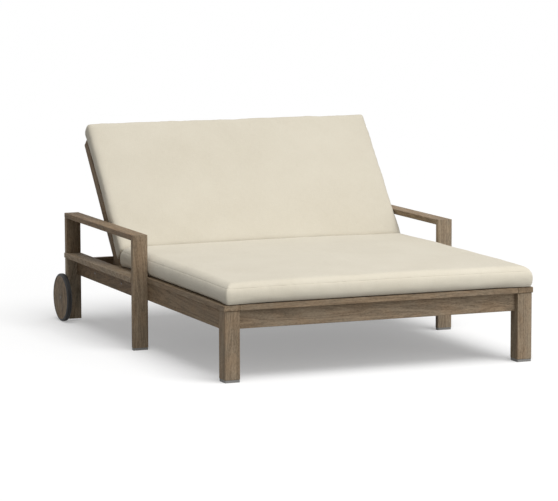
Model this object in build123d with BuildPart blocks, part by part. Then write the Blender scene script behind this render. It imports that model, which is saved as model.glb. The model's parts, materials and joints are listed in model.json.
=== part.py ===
from build123d import *
from math import cos, radians, sin
import os

os.makedirs("parts", exist_ok=True)

# Double chaise lounger: slatted wooden frame, open arms, wheels at the head end,
# and a backrest that is held by a folding prop on notched rails.
# The foot end faces -Y, the head end +Y. X is across the bed and Z is up.
# The origin is on the floor, under the middle of the whole object.

# Timber stock, millimetres
board = 24              # thickness of the planks
edge = 2                # eased edge of the planks
leg_side = 67           # square front leg
frame_width = 1395      # over the legs and side aprons
frame_height = 319      # floor to the top of the bed boards
apron_depth = 78        # aprons below the bed boards
apron_setback = 24      # front apron behind the face of the legs
board_overhang = 4      # bed boards past the legs and aprons
tenon_length = 20       # apron tenons in the front legs
tenon_thickness = 8
tenon_shoulder = 10     # apron above and below its tenon
joint_gap = 0.1         # round a tenon in its mortise
glide_height = 11       # plastic feet under the legs
glide_inset = 1
overrun = 5             # how far a cut runs past the face that it opens

# Arms, measured from the face of the front legs
arm_start = 925
arm_end = 1884
arm_width = 68.5
arm_height = 505
arm_post_depth = 26
rear_post_depth = 30
arm_apron_thickness = 20
rear_leg_lift = 10      # the rear legs hang above the floor, on the wheels

# Bed slats
slat_width = 100
seat_slat_count = 8
back_slat_count = 5
ledger_lip = 26         # ledger that a slat's end rests on

# Backrest, measured along its stiles from the pivot
recline_angle = 50.1    # degrees above flat
pivot_from_foot = 1381
stile_width = 24
stile_depth = 48
stile_gap = 3.5         # between a stile and its side apron
stile_length = 732
first_slat = 10         # from the pivot to the lowest slat
rail_width = 60
rail_start = 30         # from the pivot to the bottom rail
bed_gap = 34            # from the pivot to the end of the fixed bed
housing_gap = 2         # beside a stile in the rear apron
rest_gap = 1            # under a part of the backrest that lies flat

# Folding prop and its notched rails
prop_reach = 200        # pivot to prop rod, and prop rod to foot bar
prop_leg_width = 30
prop_leg_inset = 34     # from a stile to its prop leg
rod_radius = 6
foot_bar_radius = 8
foot_bar_gap = 3        # between the end of the bar and a stile
rack_gap = 5            # between a stile and its notched rail
crest_gap = 0.5         # between the foot bar and the crests of the rail
notch_count = 4
notch_step = 12         # degrees of recline from notch to notch

# Wheels
wheel_radius = 111.5
disc_radius = 102.5
wheel_width = 22
wheel_gap = 7           # from the rear leg to the wheel
tread_bevel = 4         # shoulders of the tyre

# Bolts
running_gap = 0.05      # round a pin that turns or is drawn tight
side_play = 0.3         # beside a wheel on its bolt
axle_radius = 6
axle_head_radius = 10
axle_head_height = 9
nut_height = 9
nut_radius = 11
spacer_radius = 15
pivot_bolt_radius = 5
pivot_head_radius = 8
pivot_head_height = 3.5
arm_bolt_radius = 3
arm_bolt_head_radius = 6.5
arm_bolt_head_height = 3
bolt_end_gap = 1        # from the end of a blind bolt to the next face

# Cushions
cushion_gap = 0.5       # round and under a cushion
cushion_nose = 14       # seat cushion past the face of the front legs
cushion_pivot_gap = 75  # from the seat cushion to the pivot of the backrest
seat_cushion_thickness = 95
back_cushion_start = 45
back_cushion_length = 700
back_cushion_thickness = 97
cushion_corner = 34
cushion_edge = 26       # softness of the border

# Soft outline of a cushion: heights as shares of the thickness, insets as shares of the border
height_shares = (0, 0.05, 0.2, 0.48, 0.74, 0.89, 0.96, 1)
inset_shares = (0.62, 0.3, 0.08, 0, 0.08, 0.34, 0.9, 4.2)
# Bolts of an arm frame, as shares of the length of its apron
arm_bolt_shares = (0.295, 0.705)
# Flat crown of a bolt head, as a share of its radius
crown_share = 0.6

# Places along the bed
axle_from_foot = arm_end - rear_post_depth / 2
foot_face = (cushion_nose - axle_from_foot - wheel_radius) / 2
leg_back = foot_face + leg_side
arm_front = foot_face + arm_start
arm_post_back = arm_front + arm_post_depth
arm_back = foot_face + arm_end
frame_back = arm_back - rear_post_depth
pivot_y = foot_face + pivot_from_foot
bed_end = pivot_y - bed_gap
axle_y = foot_face + axle_from_foot

# Places across the bed, on the right-hand side
frame_side = frame_width / 2
apron_inside = frame_side - board
board_inside = frame_side - leg_side
arm_outside = frame_side + arm_width
stile_outside = apron_inside - stile_gap
stile_inside = stile_outside - stile_width
prop_leg_outside = stile_inside - prop_leg_inset
rack_outside = stile_inside - rack_gap

# Heights
apron_top = frame_height - board
apron_bottom = apron_top - apron_depth
pivot_z = apron_top - stile_depth / 2
arm_underside = arm_height - board
rack_top = pivot_z - foot_bar_radius - crest_gap
bolt_z = (apron_top + apron_bottom) / 2

# Planes of the leaning backrest: lengths run up the stiles, depths towards the sitter
lean = radians(recline_angle)
stile_half = stile_depth / 2
slat_front = stile_half + board
back_plane = Plane(origin=(0, pivot_y, pivot_z), x_dir=(1, 0, 0), z_dir=(0, -sin(lean), cos(lean)))
back_side = Plane(origin=(0, pivot_y, pivot_z), x_dir=(0, cos(lean), sin(lean)), z_dir=(1, 0, 0))
foot_bar_y = pivot_y + 2 * prop_reach * cos(lean)
prop_side = Plane(origin=(0, foot_bar_y, pivot_z), x_dir=(0, -cos(lean), sin(lean)), z_dir=(1, 0, 0))

sides = (("left", -1), ("right", 1))


def save(piece, name):
    """Name a finished piece and write it."""
    piece.part.label = name
    export_step(piece.part, f"parts/{name}.step")


def span(side, inner, outer):
    """The X limits of a piece on one side of the bed."""
    return (inner, outer) if side > 0 else (-outer, -inner)


def plank(plane, x, y, z):
    """A board between three pairs of limits, with eased edges."""
    with BuildPart(plane) as piece:
        with Locations((sum(x) / 2, sum(y) / 2, sum(z) / 2)):
            Box(x[1] - x[0], y[1] - y[0], z[1] - z[0])
        chamfer(piece.edges(), edge)
    return piece


def bore(piece, y, z, radius):
    """A round hole right through a piece, along X."""
    middle = piece.part.bounding_box().center().X
    with piece:
        with Locations(Plane(origin=(middle, y, z), x_dir=(0, 1, 0), z_dir=(1, 0, 0))):
            Hole(radius)


def on_back(run, depth=0):
    """A place in the leaning backrest: run is up the stiles, depth towards the sitter."""
    return Plane(origin=back_side.from_local_coords((run, depth, 0)), x_dir=back_side.x_dir,
                 z_dir=back_side.z_dir)


def bolt(y, z, side, face, radius, head_radius, head_height, shank_end):
    """A bolt along X: its head stands on a face and its shank ends at a distance from the middle."""
    out = 1 if face > shank_end else -1
    crown = out * head_height
    with BuildPart() as piece:
        with BuildSketch(Plane(origin=(0, y, z), x_dir=(side, 0, 0), z_dir=(0, -side, 0))):
            with BuildLine():
                Polyline((face + crown, 0), (shank_end, 0), (shank_end, radius), (face, radius),
                         (face, head_radius), (face + crown, crown_share * head_radius), close=True)
            make_face()
        revolve(axis=Axis((0, y, z), (1, 0, 0)))
    return piece.part


# Front legs with a mortise for each apron, on plastic glides
for name, side in sides:
    leg = plank(Plane.XY, span(side, board_inside, frame_side), (foot_face, leg_back),
                (glide_height, apron_top))
    tenon_z = (apron_bottom + tenon_shoulder - joint_gap, apron_top - tenon_shoulder + joint_gap)
    wide = tenon_thickness / 2 + joint_gap
    front_apron_y = foot_face + apron_setback + board / 2
    side_apron_x = side * (frame_side - board / 2)
    tenon_reach = tenon_length + joint_gap
    with leg:
        with Locations((side * (board_inside + tenon_reach / 2), front_apron_y, sum(tenon_z) / 2)):
            Box(tenon_reach, 2 * wide, tenon_z[1] - tenon_z[0], mode=Mode.SUBTRACT)
        with Locations((side_apron_x, leg_back - tenon_reach / 2, sum(tenon_z) / 2)):
            Box(2 * wide, tenon_reach, tenon_z[1] - tenon_z[0], mode=Mode.SUBTRACT)
    save(leg, f"front_leg_{name}")

with BuildPart() as foot_glides:
    for name, side in sides:
        leg_centre = side * (frame_side - leg_side / 2)
        post_centre = side * (frame_side + arm_width / 2)
        with Locations((leg_centre, foot_face + leg_side / 2, glide_height / 2)):
            Box(leg_side - 2 * glide_inset, leg_side - 2 * glide_inset, glide_height)
        with Locations((post_centre, arm_front + arm_post_depth / 2, glide_height / 2)):
            Box(arm_width - 2 * glide_inset, arm_post_depth - 2 * glide_inset, glide_height)
    chamfer(foot_glides.edges().filter_by(Axis.Z), edge)
save(foot_glides, "foot_glides")

# Aprons
tenon_height = apron_depth - 2 * tenon_shoulder
apron_z = (apron_bottom, apron_top)
front_apron_span = (foot_face + apron_setback, foot_face + apron_setback + board)
front_apron = plank(Plane.XY, (-board_inside, board_inside), front_apron_span, apron_z)
with front_apron:
    with Locations((0, sum(front_apron_span) / 2, bolt_z)):
        Box(2 * (board_inside + tenon_length), tenon_thickness, tenon_height)
save(front_apron, "front_apron")

arm_apron_length = frame_back - arm_post_back
arm_bolt_places = [arm_post_back + share * arm_apron_length for share in arm_bolt_shares]
for name, side in sides:
    side_apron = plank(Plane.XY, span(side, apron_inside, frame_side), (leg_back, frame_back), apron_z)
    with side_apron:
        with Locations((side * (frame_side - board / 2), leg_back, bolt_z)):
            Box(tenon_thickness, 2 * tenon_length, tenon_height)
    bore(side_apron, pivot_y, pivot_z, pivot_bolt_radius + running_gap)
    for place in arm_bolt_places:
        bore(side_apron, place, bolt_z, arm_bolt_radius + running_gap)
    save(side_apron, f"side_apron_{name}")

# The rear apron is housed for the three stiles, which lie in it when the backrest is flat
rear_apron = plank(Plane.XY, (-apron_inside, apron_inside), (frame_back - board, frame_back),
                   (apron_bottom, apron_top - rest_gap))
housing_bottom = pivot_z - stile_half - rest_gap
housing_top = apron_top + overrun
stile_centres = (-(stile_inside + stile_width / 2), 0, stile_inside + stile_width / 2)
with rear_apron:
    for x in stile_centres:
        with Locations((x, frame_back - board / 2, (housing_bottom + housing_top) / 2)):
            Box(stile_width + 2 * housing_gap, board + 2 * overrun, housing_top - housing_bottom,
                mode=Mode.SUBTRACT)
save(rear_apron, "rear_apron")

# Bed boards on the aprons; each side board is notched where the arm frame lies against it
bed_z = (apron_top, frame_height)
board_front = foot_face - board_overhang
for name, side in sides:
    side_board = plank(Plane.XY, span(side, board_inside, frame_side + board_overhang),
                       (board_front, bed_end), bed_z)
    notch_y = (arm_front - joint_gap, bed_end + overrun)
    notch_x = span(side, frame_side, frame_side + board_overhang + overrun)
    with side_board:
        with Locations((sum(notch_x) / 2, sum(notch_y) / 2, sum(bed_z) / 2)):
            Box(notch_x[1] - notch_x[0], notch_y[1] - notch_y[0], board + 2 * overrun, mode=Mode.SUBTRACT)
    save(side_board, f"side_board_{name}")

front_board = plank(Plane.XY, (-board_inside, board_inside), (board_front, leg_back), bed_z)
save(front_board, "front_board")

# Bearers under the slats
hinge_beam = plank(Plane.XY, (-apron_inside, apron_inside), (bed_end - board, bed_end), apron_z)
save(hinge_beam, "hinge_beam")

centre_beam = plank(Plane.XY, (-board / 2, board / 2), (front_apron_span[1], bed_end - board), apron_z)
save(centre_beam, "centre_beam")

for name, side in sides:
    ledger = plank(Plane.XY, span(side, board_inside - ledger_lip, apron_inside),
                   (leg_back, bed_end - board), (apron_top - board, apron_top))
    save(ledger, f"slat_ledger_{name}")

slat_pitch = (bed_end - leg_back) / seat_slat_count
for number in range(seat_slat_count):
    slat_back = leg_back + (number + 1) * slat_pitch
    slat = plank(Plane.XY, (-board_inside, board_inside), (slat_back - slat_width, slat_back), bed_z)
    save(slat, f"seat_slat_{number + 1}")

# Notched rails under the foot bar of the prop
for name, side in sides:
    rack = plank(Plane.XY, span(side, rack_outside - board, rack_outside), (bed_end, frame_back - board),
                 (apron_bottom, rack_top))
    for number in range(notch_count):
        notch_angle = radians(recline_angle - number * notch_step)
        bore(rack, pivot_y + 2 * prop_reach * cos(notch_angle), rack_top, foot_bar_radius + crest_gap)
    save(rack, f"notch_rack_{name}")

# Arm frames: mitred front post and arm board, lower board, apron, rear post and rear leg
for name, side in sides:
    arm_x = span(side, frame_side, arm_outside)
    with BuildPart() as front_post:
        with BuildSketch(Plane.YZ.offset(arm_x[0])):
            Polygon((arm_front, glide_height), (arm_post_back, glide_height), (arm_post_back, arm_underside),
                    (arm_front, arm_height), align=None)
        extrude(amount=arm_width)
        chamfer(front_post.edges().filter_by(Axis.Z), edge)
    save(front_post, f"arm_front_post_{name}")

    with BuildPart() as arm_board:
        with BuildSketch(Plane.YZ.offset(arm_x[0])):
            Polygon((arm_front, arm_height), (arm_post_back, arm_underside), (arm_back, arm_underside),
                    (arm_back, arm_height), align=None)
        extrude(amount=arm_width)
        chamfer(arm_board.edges().filter_by(Axis.Y), edge)
        chamfer(arm_board.faces().sort_by(Axis.Y)[-1].edges().filter_by(Axis.X), edge)
    save(arm_board, f"arm_board_{name}")

    lower_board = plank(Plane.XY, span(side, frame_side, arm_outside + board_overhang),
                        (arm_post_back, arm_back), bed_z)
    save(lower_board, f"arm_lower_board_{name}")

    rear_post = plank(Plane.XY, arm_x, (frame_back, arm_back), (frame_height, arm_underside))
    save(rear_post, f"arm_rear_post_{name}")

    arm_apron = plank(Plane.XY, span(side, frame_side, frame_side + arm_apron_thickness),
                      (arm_post_back, frame_back), apron_z)
    for place in arm_bolt_places:
        bore(arm_apron, place, bolt_z, arm_bolt_radius + running_gap)
    save(arm_apron, f"arm_apron_{name}")

    rear_leg = plank(Plane.XY, arm_x, (frame_back, arm_back), (rear_leg_lift, apron_top))
    bore(rear_leg, axle_y, wheel_radius, axle_radius + running_gap)
    save(rear_leg, f"rear_leg_{name}")

# Bolts
arm_bolt_face = frame_side + arm_apron_thickness
with BuildPart() as arm_bolts:
    for name, side in sides:
        for place in arm_bolt_places:
            add(bolt(place, bolt_z, side, arm_bolt_face, arm_bolt_radius, arm_bolt_head_radius,
                     arm_bolt_head_height, apron_inside + bolt_end_gap))
save(arm_bolts, "arm_bolts")

with BuildPart() as pivot_bolts:
    for name, side in sides:
        add(bolt(pivot_y, pivot_z, side, stile_inside, pivot_bolt_radius, pivot_head_radius,
                 pivot_head_height, frame_side - bolt_end_gap))
save(pivot_bolts, "pivot_bolts")

wheel_inside = arm_outside + wheel_gap
wheel_outside = wheel_inside + wheel_width
axle_face = wheel_outside + side_play
with BuildPart() as axle_bolts:
    for name, side in sides:
        add(bolt(axle_y, wheel_radius, side, axle_face, axle_radius, axle_head_radius,
                 axle_head_height, frame_side - nut_height - bolt_end_gap))
        nut_x = span(side, frame_side - nut_height, frame_side)
        with BuildSketch(Plane.YZ.offset(nut_x[0])):
            with Locations((axle_y, wheel_radius)):
                RegularPolygon(nut_radius, 6)
                Circle(axle_radius + running_gap, mode=Mode.SUBTRACT)
        extrude(amount=nut_height)
save(axle_bolts, "axle_bolts")

with BuildPart() as wheel_spacers:
    for name, side in sides:
        spacer_x = span(side, arm_outside, wheel_inside - side_play)
        with BuildSketch(Plane.YZ.offset(spacer_x[0])):
            with Locations((axle_y, wheel_radius)):
                Circle(spacer_radius)
                Circle(axle_radius + running_gap, mode=Mode.SUBTRACT)
        extrude(amount=wheel_gap - side_play)
save(wheel_spacers, "wheel_spacers")

# Wheels: a turned wooden disc in a solid tyre
for name, side in sides:
    wheel_x = span(side, wheel_inside, wheel_outside)
    wheel_plane = Plane(origin=(sum(wheel_x) / 2, axle_y, wheel_radius), x_dir=(1, 0, 0), z_dir=(0, -1, 0))
    hub_axis = Axis((0, axle_y, wheel_radius), (1, 0, 0))
    half_width = wheel_width / 2
    with BuildPart() as disc:
        with BuildSketch(wheel_plane):
            with BuildLine():
                Polyline((-half_width, axle_radius + running_gap), (half_width, axle_radius + running_gap),
                         (half_width, disc_radius - edge), (half_width - edge, disc_radius),
                         (edge - half_width, disc_radius), (-half_width, disc_radius - edge), close=True)
            make_face()
        revolve(axis=hub_axis)
    save(disc, f"wheel_disc_{name}")

    with BuildPart() as tyre:
        with BuildSketch(wheel_plane):
            with BuildLine():
                Polyline((half_width, disc_radius), (half_width, wheel_radius - tread_bevel),
                         (half_width - tread_bevel, wheel_radius), (tread_bevel - half_width, wheel_radius),
                         (-half_width, wheel_radius - tread_bevel), (-half_width, disc_radius), close=True)
            make_face()
        revolve(axis=hub_axis)
    save(tyre, f"wheel_tyre_{name}")


def stile(x_low):
    """A stile on edge, rounded about the pivot at its lower end, bored for the prop rod."""
    with BuildPart() as piece:
        with BuildSketch(back_side.offset(x_low)):
            with Locations((stile_length / 2, 0)):
                Rectangle(stile_length, stile_depth)
            Circle(stile_half)
        extrude(amount=stile_width)
        outline = piece.faces().sort_by(Axis.X)
        chamfer(outline[0].edges() + outline[-1].edges(), edge)
    rod_place = back_side.from_local_coords((prop_reach, 0, 0))
    bore(piece, rod_place.Y, rod_place.Z, rod_radius + running_gap)
    return piece


# Backrest frame
rails = ((rail_start, rail_start + rail_width), (stile_length - rail_width, stile_length))
for name, side in sides:
    x_low = min(span(side, stile_inside, stile_outside))
    outer_stile = stile(x_low)
    bore(outer_stile, pivot_y, pivot_z, pivot_bolt_radius + running_gap)
    save(outer_stile, f"back_stile_{name}")

# The middle stile is halved over the rails and notched for the foot bar, which folds into it
bar_notch = foot_bar_radius + rest_gap
centre_stile = stile(-stile_width / 2)
cut_depth = stile_half + overrun
cut_width = stile_width + 2 * overrun
with centre_stile:
    for low, high in rails:
        with Locations(on_back((low + high) / 2, cut_depth / 2)):
            Box(high - low, cut_depth, cut_width, mode=Mode.SUBTRACT)
    with Locations(on_back(2 * prop_reach)):
        Hole(bar_notch)
    with Locations(on_back(2 * prop_reach, -cut_depth / 2)):
        Box(2 * bar_notch, cut_depth, cut_width, mode=Mode.SUBTRACT)
save(centre_stile, "back_centre_stile")

for name, rail in zip(("bottom", "top"), rails):
    back_rail = plank(back_plane, (-stile_inside, stile_inside), rail, (0, stile_half))
    save(back_rail, f"back_{name}_rail")

back_pitch = (stile_length - first_slat - slat_width) / (back_slat_count - 1)
for number in range(back_slat_count):
    low = first_slat + number * back_pitch
    slat = plank(back_plane, (-stile_outside, stile_outside), (low, low + slat_width), (stile_half, slat_front))
    save(slat, f"back_slat_{number + 1}")

# Prop: two legs hang from a rod between the stiles and stand on a foot bar
with BuildPart() as prop_rod:
    with BuildSketch(back_side.offset(-stile_outside + bolt_end_gap)):
        with Locations((prop_reach, 0)):
            Circle(rod_radius)
    extrude(amount=2 * (stile_outside - bolt_end_gap))
save(prop_rod, "prop_rod")

for name, side in sides:
    leg_x = span(side, prop_leg_outside - board, prop_leg_outside)
    with BuildPart() as prop_leg:
        with BuildSketch(prop_side.offset(leg_x[0])):
            with Locations((prop_reach / 2, 0)):
                SlotCenterToCenter(prop_reach, prop_leg_width)
        extrude(amount=board)
    rod_place = back_side.from_local_coords((prop_reach, 0, 0))
    bore(prop_leg, rod_place.Y, rod_place.Z, rod_radius + running_gap)
    bore(prop_leg, foot_bar_y, pivot_z, foot_bar_radius + running_gap)
    save(prop_leg, f"prop_leg_{name}")

foot_bar_end = stile_inside - foot_bar_gap
with BuildPart() as foot_bar:
    with BuildSketch(Plane.YZ.offset(-foot_bar_end)):
        with Locations((foot_bar_y, pivot_z)):
            Circle(foot_bar_radius)
    extrude(amount=2 * foot_bar_end)
    chamfer(foot_bar.edges(), rest_gap)
save(foot_bar, "prop_foot_bar")


def pillow(plane, width, length, thickness):
    """A soft cushion on a plane: drawn in underneath, full at mid height, crowned on top."""
    with BuildPart() as piece:
        for height_share, inset_share in zip(height_shares, inset_shares):
            inset = inset_share * cushion_edge
            with BuildSketch(plane.offset(height_share * thickness)):
                RectangleRounded(width - 2 * inset, length - 2 * inset, cushion_corner)
        loft(ruled=True)
    return piece


# Cushions
cushion_width = frame_width - 2 * cushion_gap
seat_cushion_length = cushion_nose + pivot_from_foot - cushion_pivot_gap
seat_middle = foot_face - cushion_nose + seat_cushion_length / 2
seat_plane = Plane(origin=(0, seat_middle, frame_height + cushion_gap))
seat_cushion = pillow(seat_plane, cushion_width, seat_cushion_length, seat_cushion_thickness)
save(seat_cushion, "seat_cushion")

back_middle = back_cushion_start + back_cushion_length / 2
back_seat = back_plane.offset(slat_front + cushion_gap)
cushion_plane = Plane(origin=back_seat.from_local_coords((0, back_middle, 0)), x_dir=back_seat.x_dir,
                      z_dir=back_seat.z_dir)
back_cushion = pillow(cushion_plane, cushion_width, back_cushion_length, back_cushion_thickness)
save(back_cushion, "back_cushion")
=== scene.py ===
import json
import math
import bpy
import numpy as np
from mathutils import Euler, Matrix, Vector


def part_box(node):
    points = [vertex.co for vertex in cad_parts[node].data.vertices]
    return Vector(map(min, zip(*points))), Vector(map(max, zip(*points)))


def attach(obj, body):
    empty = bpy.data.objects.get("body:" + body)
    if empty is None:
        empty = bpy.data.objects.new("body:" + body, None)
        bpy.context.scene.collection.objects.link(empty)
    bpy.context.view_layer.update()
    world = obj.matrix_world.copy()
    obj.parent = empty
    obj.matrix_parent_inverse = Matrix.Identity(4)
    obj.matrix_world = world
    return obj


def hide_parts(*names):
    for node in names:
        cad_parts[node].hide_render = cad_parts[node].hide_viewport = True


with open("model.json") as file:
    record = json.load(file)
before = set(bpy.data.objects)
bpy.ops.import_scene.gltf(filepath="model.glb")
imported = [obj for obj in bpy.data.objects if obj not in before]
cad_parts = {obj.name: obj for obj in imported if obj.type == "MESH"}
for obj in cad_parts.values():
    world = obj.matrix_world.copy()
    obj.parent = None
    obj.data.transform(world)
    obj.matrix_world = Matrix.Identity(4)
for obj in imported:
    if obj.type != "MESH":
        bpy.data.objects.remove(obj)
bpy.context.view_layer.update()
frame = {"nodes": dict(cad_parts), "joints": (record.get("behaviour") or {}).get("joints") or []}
print("frame loaded:", len(frame["nodes"]), "nodes")

tiny = 1e-9
white = (1.0, 1.0, 1.0)


# Small helpers for materials: each takes the node tree it works in

def addNode(tree, kind, **settings):
    # a setting is an input socket's value where the node has such a socket, or else an attribute
    node = tree.nodes.new(kind)
    for key, value in settings.items():
        if key in node.inputs:
            node.inputs[key].default_value = value
        else:
            setattr(node, key, value)
    return node


def newMaterial(name):
    material = bpy.data.materials.new(name)
    material.use_nodes = True
    tree = material.node_tree
    return material, tree, tree.nodes["Principled BSDF"]


def setMaterial(obj, material):
    obj.data.materials.clear()
    obj.data.materials.append(material)


def mathNode(tree, operation, *values):
    node = addNode(tree, "ShaderNodeMath", operation=operation)
    for socket, value in zip(node.inputs, values):
        if isinstance(value, (int, float)):
            socket.default_value = value
        else:
            tree.links.new(value, socket)
    return node.outputs[0]


def colourRamp(tree, factor, stops):
    # stops are (place, (red, green, blue)) from low to high
    ramp = addNode(tree, "ShaderNodeValToRGB")
    elements = ramp.color_ramp.elements
    while len(elements) < len(stops):
        elements.new(0.5)
    for element, (place, colour) in zip(elements, stops):
        element.position = place
        element.color = (*colour, 1)
    tree.links.new(factor, ramp.inputs["Fac"])
    return ramp.outputs["Color"]


def mixColour(tree, factor, first, second, blendType="MIX"):
    node = addNode(tree, "ShaderNodeMix", data_type="RGBA", blend_type=blendType, clamp_factor=True)
    for socket, value in ((node.inputs[0], factor), (node.inputs[6], first), (node.inputs[7], second)):
        if isinstance(value, (int, float)):
            socket.default_value = value
        elif isinstance(value, tuple):
            socket.default_value = (*value, 1)
        else:
            tree.links.new(value, socket)
    return node.outputs[2]


def multiplied(tree, first, second):
    return mixColour(tree, 1.0, first, second, "MULTIPLY")


def scaledCoords(tree, source, rotation=(0, 0, 0), scale=(1, 1, 1), location=(0, 0, 0)):
    # rotation is in radians; it turns the pattern's own axes before they are scaled
    mapping = addNode(tree, "ShaderNodeMapping", vector_type="POINT")
    mapping.inputs["Rotation"].default_value = rotation
    mapping.inputs["Scale"].default_value = scale
    mapping.inputs["Location"].default_value = location
    tree.links.new(source, mapping.inputs["Vector"])
    return mapping.outputs["Vector"]


def noise(tree, vector, scale, detail=2.0, roughness=0.5, distortion=0.0):
    node = addNode(tree, "ShaderNodeTexNoise", Scale=scale, Detail=detail, Roughness=roughness,
                   Distortion=distortion)
    tree.links.new(vector, node.inputs["Vector"])
    return node.outputs["Fac"]


def bump(tree, height, strength, distance, normal=None):
    node = addNode(tree, "ShaderNodeBump", Strength=strength, Distance=distance)
    tree.links.new(height, node.inputs["Height"])
    if normal is not None:
        tree.links.new(normal, node.inputs["Normal"])
    return node.outputs["Normal"]


def seenRay(tree):
    # 1 for rays from the camera, also by way of metal or glass
    rays = addNode(tree, "ShaderNodeLightPath").outputs
    return mathNode(tree, "MAXIMUM", rays["Is Camera Ray"],
                    mathNode(tree, "MAXIMUM", rays["Is Glossy Ray"], rays["Is Transmission Ray"]))


# Weathered hardwood: the grain runs along each board, with pores, growth figure and a grey bloom

wood = {
    "shades": ((0.31, (0.118, 0.080, 0.047)), (0.5, (0.212, 0.152, 0.096)), (0.70, (0.300, 0.223, 0.147))),
    "mottleShare": 0.68,       # the rest of the shade is fibre
    "figureRings": 95.0,
    "ringDepth": 0.10,
    "bloom": (0.250, 0.205, 0.154),
    "bloomShare": 0.5,
    "warmths": ((0.40, white), (0.64, (1.05, 0.985, 0.93))),
    "pore": (0.066, 0.043, 0.026),
    "poreStops": (0.58, 0.68),
    "poreShare": 0.6,
    "endGrain": (1.16, 1.17, 1.18),
    "endSharpness": 8.0,
    "greenShare": 0.985,
    "blueShare": 0.95,
    "tintGreying": 0.18,            # greyer with the tint: lighter boards get more green, and still more blue; as the tint carries painted light, so does this greying
    "tintGreyingBlue": 2.2,
    "stainStops": (0.38, 0.60),
    "wheelStain": 0.42,
    "roughness": 0.56,
    "roughnessSpread": 0.22,
    "specular": 0.14,
    "shadeRelief": 0.8,
    "bumpStrength": 0.4,
    "bumpDistance": 0.0005,
    "shiftReach": 3.0,         # metres that the pattern moves from board to board
    "tintSpread": 0.05,
    "seed": 7,
}

grainLayers = {  # noises per metre across the board; a stretch under 1 draws them out along it
    "figure": {"stretch": 0.09, "scale": 9.0, "detail": 3.0, "roughness": 0.5, "distortion": 1.2},
    "fibre": {"stretch": 0.03, "scale": 170.0, "detail": 4.0, "roughness": 0.7},
    "mottle": {"stretch": 0.45, "scale": 165.0, "detail": 4.0, "roughness": 0.65, "distortion": 0.6},
    "patches": {"stretch": 0.09, "scale": 4.0, "detail": 3.0, "roughness": 0.6},
    "warmth": {"stretch": 0.45, "scale": 22.0, "detail": 2.0, "roughness": 0.5},
    "pores": {"stretch": 0.05, "scale": 1300.0, "detail": 1.0, "roughness": 0.5},
    "blotches": {"stretch": 0.5, "scale": 42.0, "detail": 3.0, "roughness": 0.6},
}

paintedLightTints = {  # painted light and shade: boards made lighter or darker for how much light falls on them, the front ones lighter
    "front_leg_right": 1.38, "arm_front_post_right": 1.50, "front_leg_left": 1.22, "front_apron": 1.28,
    "front_board": 1.18, "arm_front_post_left": 1.18, "arm_apron_left": 0.86, "arm_board_left": 1.01,
    "side_apron_left": 1.02, "side_board_left": 1.14, "rear_leg_left": 1.70, "arm_rear_post_left": 1.20,
    "arm_board_right": 1.15, "arm_lower_board_left": 1.34, "wheel_disc_left": 1.25, "wheel_disc_right": 1.25,
}


def woodMaterial(name, turn, offset, tint, stain):
    # turn lays the pattern along the board and offset moves it, so that no two boards are alike; tint darkens
    # or lightens the board, as random tone with painted light and shade on top, and stain is the depth of
    # dark blotches
    material, tree, shader = newMaterial(name)
    coords = addNode(tree, "ShaderNodeTexCoord").outputs
    turned = scaledCoords(tree, coords["Object"], rotation=turn, location=offset)

    def layer(key):
        settings = dict(grainLayers[key])
        stretch = settings.pop("stretch")
        return noise(tree, scaledCoords(tree, turned, scale=(stretch, 1, 1)), **settings)

    fibre = layer("fibre")
    rings = mathNode(tree, "SINE", mathNode(tree, "MULTIPLY", layer("figure"), wood["figureRings"]))
    shade = mathNode(tree, "ADD", mathNode(tree, "MULTIPLY", fibre, 1 - wood["mottleShare"]),
                     mathNode(tree, "MULTIPLY", layer("mottle"), wood["mottleShare"]))
    shade = mathNode(tree, "ADD", shade, mathNode(tree, "MULTIPLY", rings, wood["ringDepth"]))
    colour = colourRamp(tree, shade, wood["shades"])
    bloomShare = mathNode(tree, "MULTIPLY", layer("patches"), wood["bloomShare"])
    colour = mixColour(tree, bloomShare, colour, wood["bloom"])
    colour = multiplied(tree, colour, colourRamp(tree, layer("warmth"), wood["warmths"]))

    pores = addNode(tree, "ShaderNodeMapRange")
    pores.inputs["From Min"].default_value, pores.inputs["From Max"].default_value = wood["poreStops"]
    tree.links.new(layer("pores"), pores.inputs["Value"])
    poreMask = pores.outputs["Result"]
    colour = mixColour(tree, mathNode(tree, "MULTIPLY", poreMask, wood["poreShare"]), colour, wood["pore"])

    # end grain is paler: there the normal, in the object's own space, lies along the board
    facing = addNode(tree, "ShaderNodeVectorMath", operation="DOT_PRODUCT")
    facing.inputs[1].default_value = Euler(turn).to_matrix().inverted() @ Vector((1, 0, 0))
    tree.links.new(coords["Normal"], facing.inputs[0])
    ends = mathNode(tree, "POWER", mathNode(tree, "ABSOLUTE", facing.outputs["Value"]), wood["endSharpness"])
    colour = mixColour(tree, ends, colour, multiplied(tree, colour, wood["endGrain"]))

    # the tint, painted light and shade included, lightens and greys the board
    grey = (tint - 1.0) * wood["tintGreying"]
    greenShare, blueShare = wood["greenShare"] + grey, wood["blueShare"] + wood["tintGreyingBlue"] * grey
    colour = multiplied(tree, colour, (tint, tint * greenShare, tint * blueShare))
    if stain:
        low, high = wood["stainStops"]
        blotches = colourRamp(tree, layer("blotches"), ((low, (1 - stain,) * 3), (high, white)))
        colour = multiplied(tree, colour, blotches)
    tree.links.new(colour, shader.inputs["Base Color"])

    roughness = mathNode(tree, "MULTIPLY_ADD", fibre, wood["roughnessSpread"], wood["roughness"])
    tree.links.new(roughness, shader.inputs["Roughness"])
    shader.inputs["Specular IOR Level"].default_value = wood["specular"]
    relief = mathNode(tree, "SUBTRACT", mathNode(tree, "MULTIPLY", shade, wood["shadeRelief"]), poreMask)
    tree.links.new(bump(tree, relief, wood["bumpStrength"], wood["bumpDistance"]), shader.inputs["Normal"])
    return material


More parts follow.
